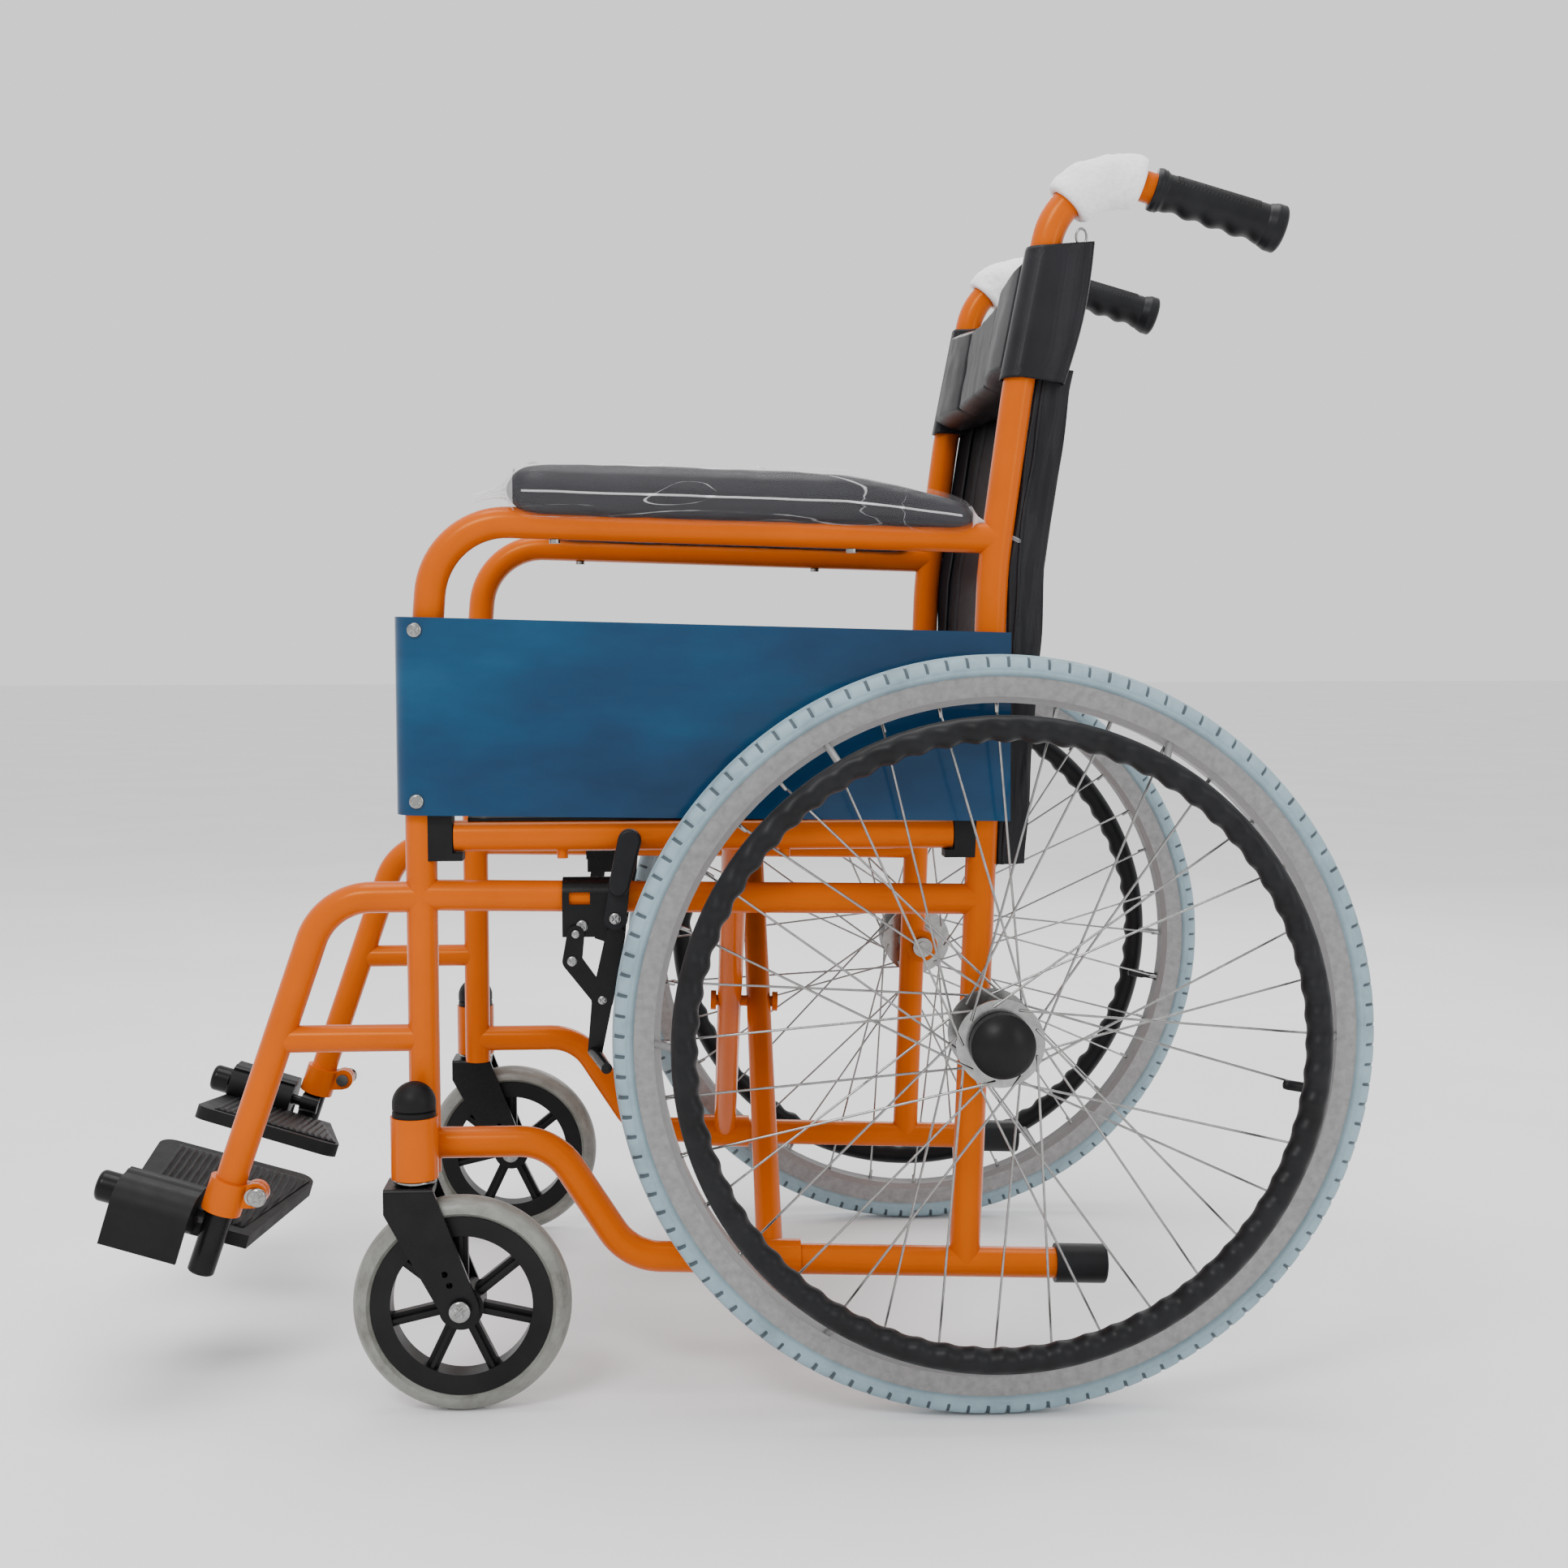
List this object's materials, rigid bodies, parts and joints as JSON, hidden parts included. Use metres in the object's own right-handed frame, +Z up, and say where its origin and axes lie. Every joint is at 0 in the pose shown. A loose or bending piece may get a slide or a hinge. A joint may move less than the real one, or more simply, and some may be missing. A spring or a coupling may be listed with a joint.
{
  "type": "manual wheelchair",
  "caption": "Folding manual wheelchair with spoked rear wheels, swivel casters, skirt panels, arm pads, wheel locks and flip-up footplates.",
  "frame": {"origin": "on the ground under the middle of the chair's overall length and width", "axes": "+X forward, +Y the chair's left, +Z up"},
  "size_m": [1.0362, 0.6856, 1.0114],
  "materials": {
    "frame_paint": "gloss",
    "axle_steel": "zinc plated",
    "black_enamel": "satin",
    "black_plastic": "moulded, fine grain",
    "grip_rubber": "matt",
    "tyre_grey": "matt",
    "caster_grey": "satin",
    "rim_alloy": "satin",
    "skirt_blue": "gloss under film",
    "vinyl": "soft grain",
    "upholstery": "coated nylon",
    "foam": "soft foam"
  },
  "bodies": {
    "frame_left": {"front_post_left": "frame_paint", "back_post_left": "frame_paint", "lower_rail_left": "frame_paint", "base_rail_left": "frame_paint", "footrest_hanger_left": "frame_paint", "caster_housing_left": "frame_paint", "caster_cap_left": "black_plastic", "skirt_panel_left": "skirt_blue", "arm_pad_left": "vinyl", "push_grip_left": "grip_rubber", "foam_wrap_left": "foam", "tip_cap_left": "grip_rubber", "rail_saddles_left": "black_plastic", "brake_bracket_left": "black_enamel", "frame_fasteners_left": "axle_steel", "back_sling": "upholstery", "seat_sling": "upholstery"},
    "frame_right": {"front_post_right": "frame_paint", "back_post_right": "frame_paint", "lower_rail_right": "frame_paint", "base_rail_right": "frame_paint", "footrest_hanger_right": "frame_paint", "caster_housing_right": "frame_paint", "caster_cap_right": "black_plastic", "skirt_panel_right": "skirt_blue", "arm_pad_right": "vinyl", "push_grip_right": "grip_rubber", "foam_wrap_right": "foam", "tip_cap_right": "grip_rubber", "rail_saddles_right": "black_plastic", "brake_bracket_right": "black_enamel", "frame_fasteners_right": "axle_steel"},
    "brace_a": {"cross_brace_a": "frame_paint"},
    "brace_b": {"cross_brace_b": "frame_paint"},
    "wheel_left": {"rear_tyre_left": "tyre_grey", "rear_rim_left": "rim_alloy", "hand_rim_left": "grip_rubber", "wheel_hub_left": "axle_steel", "hub_cap_left": "black_plastic", "wheel_spokes_left": "axle_steel"},
    "caster_swivel_left": {"caster_fork_left": "black_enamel"},
    "caster_wheel_left": {"caster_tyre_left": "caster_grey", "caster_hub_left": "black_plastic"},
    "lock_lever_left": {"brake_lever_left": "grip_rubber"},
    "lock_arm_left": {"brake_arm_left": "black_enamel"},
    "footrest_left": {"footrest_tube_left": "black_enamel"},
    "plate_left": {"footplate_left": "black_plastic"},
    "wheel_right": {"rear_tyre_right": "tyre_grey", "rear_rim_right": "rim_alloy", "hand_rim_right": "grip_rubber", "wheel_hub_right": "axle_steel", "hub_cap_right": "black_plastic", "wheel_spokes_right": "axle_steel"},
    "caster_swivel_right": {"caster_fork_right": "black_enamel"},
    "caster_wheel_right": {"caster_tyre_right": "caster_grey", "caster_hub_right": "black_plastic"},
    "lock_lever_right": {"brake_lever_right": "grip_rubber"},
    "lock_arm_right": {"brake_arm_right": "black_enamel"},
    "footrest_right": {"footrest_tube_right": "black_enamel"},
    "plate_right": {"footplate_right": "black_plastic"}
  },
  "joints": [
    {"name": "fold", "type": "hinge", "parent": "frame_left", "child": "brace_a", "pos_m": [-0.035, 0.225, 0.11006], "axis": [-0.9994, 0, -0.0339], "range_deg": [0, 36], "deforming": ["seat_sling", "back_sling"]},
    {"name": "scissor", "type": "hinge", "parent": "brace_a", "child": "brace_b", "pos_m": [-0.0215, 0, 0.28701], "axis": [0.9994, 0, 0.0339], "range_deg": [0, 72]},
    {"name": "frame_right_pivot", "type": "hinge", "parent": "brace_b", "child": "frame_right", "pos_m": [-0.008, -0.225, 0.11098], "axis": [-0.9994, 0, -0.0339], "range_deg": [0, 36]},
    {"name": "wheel_spin_left", "type": "hinge", "parent": "frame_left", "child": "wheel_left", "pos_m": [-0.213, 0.287, 0.305], "axis": [0, 1, 0], "continuous": true},
    {"name": "swivel_left", "type": "hinge", "parent": "frame_left", "child": "caster_swivel_left", "pos_m": [0.252, 0.2563, 0.186], "axis": [0, 0, 1], "continuous": true},
    {"name": "caster_spin_left", "type": "hinge", "parent": "caster_swivel_left", "child": "caster_wheel_left", "pos_m": [0.215, 0.2563, 0.088], "axis": [0, 1, 0], "continuous": true},
    {"name": "wheel_lock_left", "type": "hinge", "parent": "frame_left", "child": "lock_lever_left", "pos_m": [0.09, 0.248, 0.398], "axis": [0, 1, 0], "range_deg": [0, 50]},
    {"name": "lock_shoe_left", "type": "hinge", "parent": "frame_left", "child": "lock_arm_left", "pos_m": [0.09, 0.2438, 0.3835], "axis": [0, -1, 0], "range_deg": [0, 12.5]},
    {"name": "footrest_height_left", "type": "slide", "parent": "frame_left", "child": "footrest_left", "axis": [0.3289, 0, -0.9444], "range_m": [0, 0.04]},
    {"name": "footplate_flip_left", "type": "hinge", "parent": "footrest_left", "child": "plate_left", "pos_m": [0.41723, 0.212, 0.148], "axis": [-0.9563, 0, -0.2924], "range_deg": [0, 82]},
    {"name": "wheel_spin_right", "type": "hinge", "parent": "frame_right", "child": "wheel_right", "pos_m": [-0.213, -0.287, 0.305], "axis": [0, 1, 0], "continuous": true},
    {"name": "swivel_right", "type": "hinge", "parent": "frame_right", "child": "caster_swivel_right", "pos_m": [0.252, -0.2563, 0.186], "axis": [0, 0, 1], "continuous": true},
    {"name": "caster_spin_right", "type": "hinge", "parent": "caster_swivel_right", "child": "caster_wheel_right", "pos_m": [0.215, -0.2563, 0.088], "axis": [0, 1, 0], "continuous": true},
    {"name": "wheel_lock_right", "type": "hinge", "parent": "frame_right", "child": "lock_lever_right", "pos_m": [0.09, -0.248, 0.398], "axis": [0, 1, 0], "range_deg": [0, 50]},
    {"name": "lock_shoe_right", "type": "hinge", "parent": "frame_right", "child": "lock_arm_right", "pos_m": [0.09, -0.2438, 0.3835], "axis": [0, -1, 0], "range_deg": [0, 12.5]},
    {"name": "footrest_height_right", "type": "slide", "parent": "frame_right", "child": "footrest_right", "axis": [0.3289, 0, -0.9444], "range_m": [0, 0.04]},
    {"name": "footplate_flip_right", "type": "hinge", "parent": "footrest_right", "child": "plate_right", "pos_m": [0.41723, -0.212, 0.148], "axis": [0.9563, 0, 0.2924], "range_deg": [0, 82]}
  ],
  "couplings": [
    {"joint": "scissor", "follows": "fold", "ratio": 2},
    {"joint": "frame_right_pivot", "follows": "fold", "ratio": 1},
    {"joint": "lock_shoe_left", "follows": "wheel_lock_left", "ratio": 0.25},
    {"joint": "footplate_flip_left", "follows": "fold", "ratio": 2.2778},
    {"joint": "lock_shoe_right", "follows": "wheel_lock_right", "ratio": 0.25},
    {"joint": "footplate_flip_right", "follows": "fold", "ratio": 2.2778}
  ]
}
